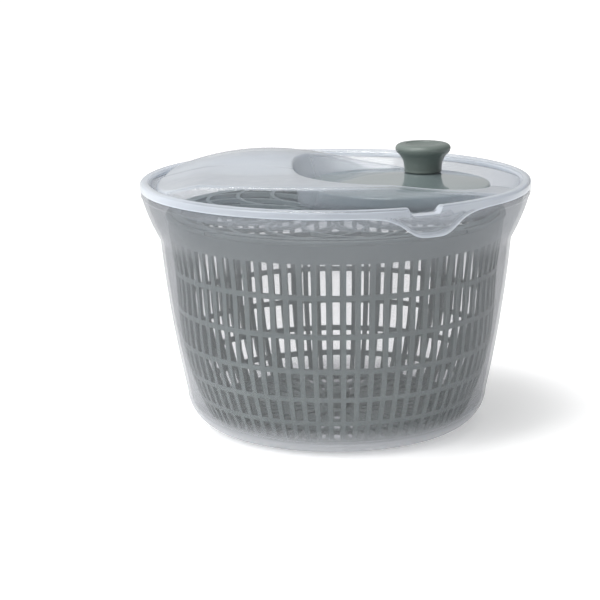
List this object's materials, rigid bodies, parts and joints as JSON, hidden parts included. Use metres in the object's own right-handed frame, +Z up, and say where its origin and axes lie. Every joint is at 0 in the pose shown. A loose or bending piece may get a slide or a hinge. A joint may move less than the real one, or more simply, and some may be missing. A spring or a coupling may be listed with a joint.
{
  "type": "salad spinner",
  "caption": "Clear bowl with a slotted spinning basket inside, and a frosted lift-off lid carrying a geared crank disc with a turning knob.",
  "frame": {"origin": "centre of the bowl's flat underside, on the surface it stands on", "axes": "+Z up along the bowl's axis; the crank is on the +X side, the pour notch is towards -Y"},
  "size_m": [0.25, 0.25, 0.175],
  "materials": {
    "bowl_clear": "clear moulded plastic, slightly milky",
    "lid_frosted": "translucent frosted plastic",
    "basket_grey": "satin",
    "coupler_grey": "satin",
    "disc_gloss": "glossy",
    "knob_matte": "satin",
    "gear_white": "satin",
    "bush_dark": "satin",
    "steel": "plain"
  },
  "bodies": {
    "base": {"bowl": "bowl_clear", "pivot_pin": "steel"},
    "carrier": {"pivot_cup": "gear_white"},
    "basket": {"basket": "basket_grey"},
    "lid": {"lid_shell": "lid_frosted", "pinion_bush": "bush_dark", "crank_bush": "bush_dark"},
    "crank": {"crank_disc": "disc_gloss", "drive_gear": "coupler_grey", "gear_screws": "steel", "crank_washer": "steel", "crank_screw": "steel", "knob_post": "disc_gloss", "knob_washer": "steel", "knob_screw": "steel"},
    "knob": {"knob_body": "knob_matte", "knob_cap": "knob_matte"},
    "drive": {"pinion": "gear_white", "drive_coupler": "coupler_grey", "coupler_screw": "steel", "basket_cover": "basket_grey", "hub_screws": "steel"}
  },
  "joints": [
    {"name": "lid_lift", "type": "slide", "parent": "base", "child": "lid", "axis": [0, 0, 1], "range_m": [0, 0.3]},
    {"name": "basket_lift", "type": "slide", "parent": "base", "child": "carrier", "axis": [0, 0, 1], "range_m": [0, 0.15]},
    {"name": "crank_spin", "type": "hinge", "parent": "lid", "child": "crank", "pos_m": [0.03978, 0.00418, 0.15], "axis": [0, 0, 1], "continuous": true},
    {"name": "knob_spin", "type": "hinge", "parent": "crank", "child": "knob", "pos_m": [0.05832, 0.04682, 0.165], "axis": [0, 0, 1], "continuous": true},
    {"name": "drive_spin", "type": "hinge", "parent": "lid", "child": "drive", "pos_m": [0, 0, 0.145], "axis": [0, 0, 1], "continuous": true},
    {"name": "basket_spin", "type": "hinge", "parent": "carrier", "child": "basket", "pos_m": [0, 0, 0.01], "axis": [0, 0, 1], "continuous": true}
  ],
  "couplings": [
    {"joint": "drive_spin", "follows": "crank_spin", "ratio": 4.3333},
    {"joint": "basket_spin", "follows": "crank_spin", "ratio": 4.3333},
    {"joint": "basket_lift", "follows": "lid_lift", "ratio": 0.5}
  ]
}
